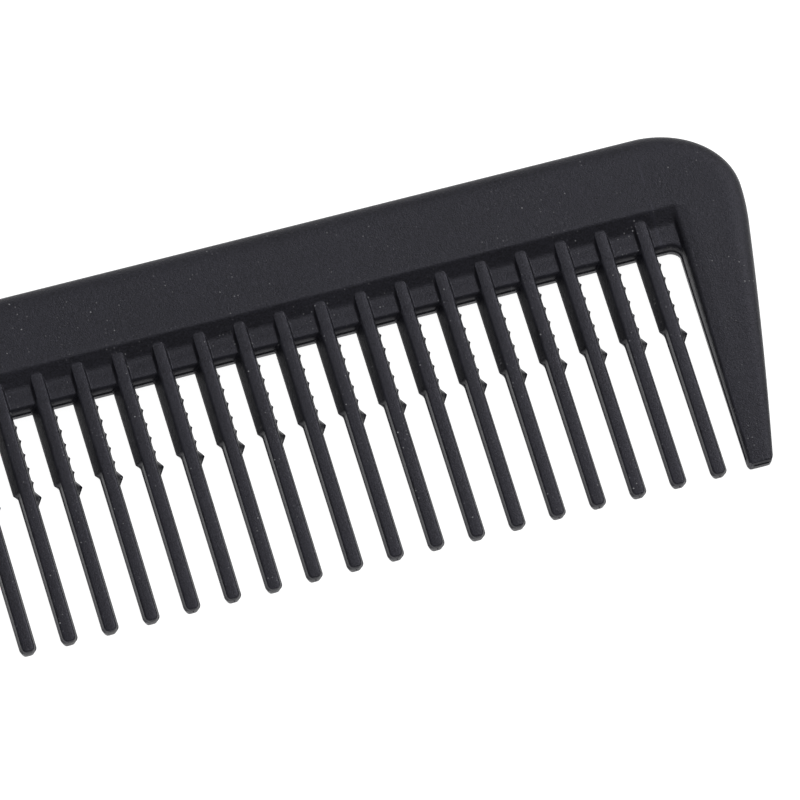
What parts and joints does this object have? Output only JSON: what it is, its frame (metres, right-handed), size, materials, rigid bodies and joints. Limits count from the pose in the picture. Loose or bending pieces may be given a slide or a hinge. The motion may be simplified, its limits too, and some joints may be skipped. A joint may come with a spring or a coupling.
{
  "type": "hair comb",
  "caption": "Wide-tooth styling comb: a flat spine, a recessed tooth rail, stepped teeth with scalloped edges and a barb, and a broad end tooth at each end.",
  "frame": {"origin": "centre of the comb's underside, as it lies flat on its back face", "axes": "+X along the comb's length, +Y from the tooth tips to the spine, +Z through the thickness, out of the front face"},
  "size_m": [0.1922, 0.0442, 0.0044],
  "materials": {
    "body_plastic": "fine spark-eroded moulded texture, matte",
    "tooth_plastic": "fine moulded texture, matte, a little smoother on the flanks"
  },
  "bodies": {
    "root": {"spine": "body_plastic", "slope": "body_plastic", "tooth_rail": "tooth_plastic", "end_tooth_right": "body_plastic", "end_tooth_left": "body_plastic", "tooth_01": "tooth_plastic", "tooth_02": "tooth_plastic", "tooth_03": "tooth_plastic", "tooth_04": "tooth_plastic", "tooth_05": "tooth_plastic", "tooth_06": "tooth_plastic", "tooth_07": "tooth_plastic", "tooth_08": "tooth_plastic", "tooth_09": "tooth_plastic", "tooth_10": "tooth_plastic", "tooth_11": "tooth_plastic", "tooth_12": "tooth_plastic", "tooth_13": "tooth_plastic", "tooth_14": "tooth_plastic", "tooth_15": "tooth_plastic", "tooth_16": "tooth_plastic", "tooth_17": "tooth_plastic", "tooth_18": "tooth_plastic", "tooth_19": "tooth_plastic", "tooth_20": "tooth_plastic", "tooth_21": "tooth_plastic", "tooth_22": "tooth_plastic", "tooth_23": "tooth_plastic", "tooth_24": "tooth_plastic", "tooth_25": "tooth_plastic", "tooth_26": "tooth_plastic", "tooth_27": "tooth_plastic", "tooth_28": "tooth_plastic", "tooth_29": "tooth_plastic", "tooth_30": "tooth_plastic", "tooth_31": "tooth_plastic", "tooth_32": "tooth_plastic", "tooth_33": "tooth_plastic", "tooth_34": "tooth_plastic"}
  },
  "joints": []
}
